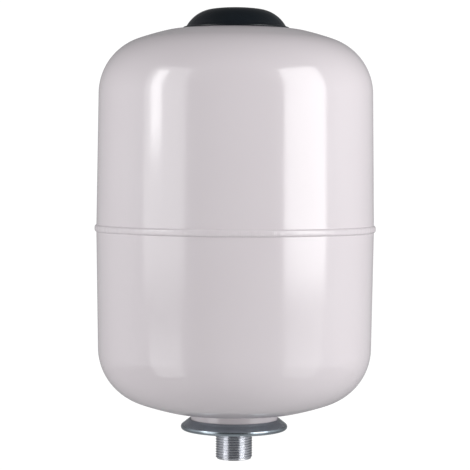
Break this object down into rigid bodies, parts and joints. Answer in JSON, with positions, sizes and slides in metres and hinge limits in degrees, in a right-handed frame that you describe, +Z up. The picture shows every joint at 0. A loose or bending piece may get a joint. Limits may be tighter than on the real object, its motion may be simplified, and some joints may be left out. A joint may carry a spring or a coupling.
{
  "type": "expansion vessel",
  "caption": "Upright steel expansion vessel: two dished shells welded round the middle, black cover over the gas valve, rolled counterflange with a threaded nipple below.",
  "frame": {"origin": "centre of the threaded nipple's lower end, on the vessel's axis", "axes": "+Z up along the vessel's axis, from the nipple to the gas valve; X and Y are across it"},
  "size_m": [0.2028, 0.2028, 0.3258],
  "materials": {
    "body_paint": "gloss white powder coat with a faint warm pink cast",
    "cover_plastic": "black moulded plastic, satin",
    "cap_plastic": "black moulded plastic",
    "zinc_plate": "zinc-plated pressed steel",
    "zinc_thread": "zinc-plated turned steel",
    "bare_steel": "turned steel",
    "nickelled_brass": "nickel-plated brass",
    "brass": "turned brass",
    "spring_steel": "bright spring wire",
    "seal_rubber": "black rubber",
    "bag_rubber": "matt black moulded rubber",
    "white_seal": "white sealing ring",
    "liner_plastic": "natural polypropylene"
  },
  "bodies": {
    "tank": {"upper_shell": "body_paint", "lower_shell": "body_paint", "seam_weld": "body_paint", "valve_boss": "bare_steel", "boss_weld": "body_paint", "stem_seal": "seal_rubber", "valve_stem": "nickelled_brass", "core_barrel": "brass", "core_seal": "white_seal", "core_spring": "spring_steel", "counterflange": "zinc_plate", "nipple": "zinc_thread", "nipple_weld": "zinc_plate", "flange_liner": "liner_plastic", "bladder": "bag_rubber"},
    "cover": {"top_cover": "cover_plastic"},
    "cap_seal": {"dust_cap_seal": "seal_rubber"},
    "cap": {"dust_cap": "cap_plastic"},
    "core": {"core_pin": "brass", "pin_washer": "seal_rubber"}
  },
  "joints": [
    {"name": "cover_lift", "type": "slide", "parent": "tank", "child": "cover", "axis": [0, 0, 1], "range_m": [0, 0.05]},
    {"name": "dust_cap_rise", "type": "slide", "parent": "tank", "child": "cap_seal", "axis": [0, 0, 1], "range_m": [0, 0.006]},
    {"name": "dust_cap_turn", "type": "hinge", "parent": "cap_seal", "child": "cap", "pos_m": [0, 0, 0.3115], "axis": [0, 0, 1], "range_deg": [0, 2721]},
    {"name": "core_pin_press", "type": "slide", "parent": "tank", "child": "core", "axis": [0, 0, -1], "range_m": [0, 0.0015], "stiffness_N_per_m": 800, "springref_m": -0.002, "deforming": ["core_spring"]}
  ],
  "couplings": [
    {"joint": "dust_cap_turn", "follows": "dust_cap_rise", "rad_per_m": 7913.3}
  ]
}
